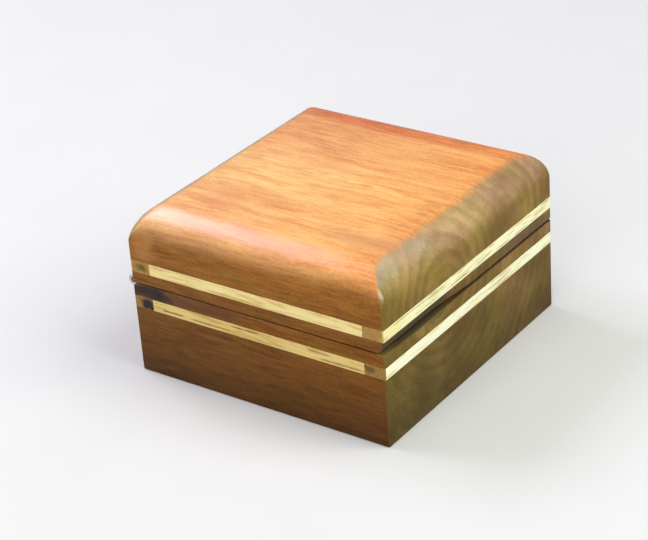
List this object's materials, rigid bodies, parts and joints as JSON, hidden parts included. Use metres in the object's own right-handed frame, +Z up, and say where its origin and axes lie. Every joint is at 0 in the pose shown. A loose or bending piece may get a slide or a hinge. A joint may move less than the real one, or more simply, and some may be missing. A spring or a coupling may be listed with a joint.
{
  "type": "wooden gift box",
  "caption": "Small hinged gift box hollowed from solid dark wood, with rounded top edges, pale inlaid strips round lid and base, a finger lip at the front and a strip hinge at the back.",
  "frame": {"origin": "middle of the wooden block's flat underside", "axes": "+Z up; -Y to the front, where the finger lip is; +Y to the back, where the hinge is; X along the hinge; the wood's grain runs along Y"},
  "size_m": [0.08, 0.0793, 0.0468],
  "materials": {
    "lid_wood": "red-brown dark hardwood under a satin clear finish",
    "base_wood": "the same red-brown hardwood, a little darker, under a satin clear finish",
    "pale_strip": "pale yellow straight-grained hardwood under a satin clear finish",
    "hinge_metal": "bright nickel plate on rolled sheet",
    "pin_metal": "plain bright wire",
    "screw_metal": "bright nickel plate"
  },
  "bodies": {
    "base": {"base_block": "base_wood", "base_strip_front": "pale_strip", "base_strip_back": "pale_strip", "base_strip_left": "pale_strip", "base_strip_right": "pale_strip", "hinge_base_leaf": "hinge_metal", "hinge_pin": "pin_metal", "base_hinge_screw_1": "screw_metal", "base_hinge_screw_2": "screw_metal", "base_hinge_screw_3": "screw_metal", "base_hinge_screw_4": "screw_metal"},
    "lid": {"lid_block": "lid_wood", "lid_strip_front": "pale_strip", "lid_strip_back": "pale_strip", "lid_strip_left": "pale_strip", "lid_strip_right": "pale_strip", "hinge_lid_leaf": "hinge_metal", "lid_hinge_screw_1": "screw_metal", "lid_hinge_screw_2": "screw_metal", "lid_hinge_screw_3": "screw_metal", "lid_hinge_screw_4": "screw_metal"}
  },
  "joints": [
    {"name": "lid_hinge", "type": "hinge", "parent": "base", "child": "lid", "pos_m": [0, 0.0393, 0.02605], "axis": [-1, 0, 0], "range_deg": [0, 180]}
  ]
}
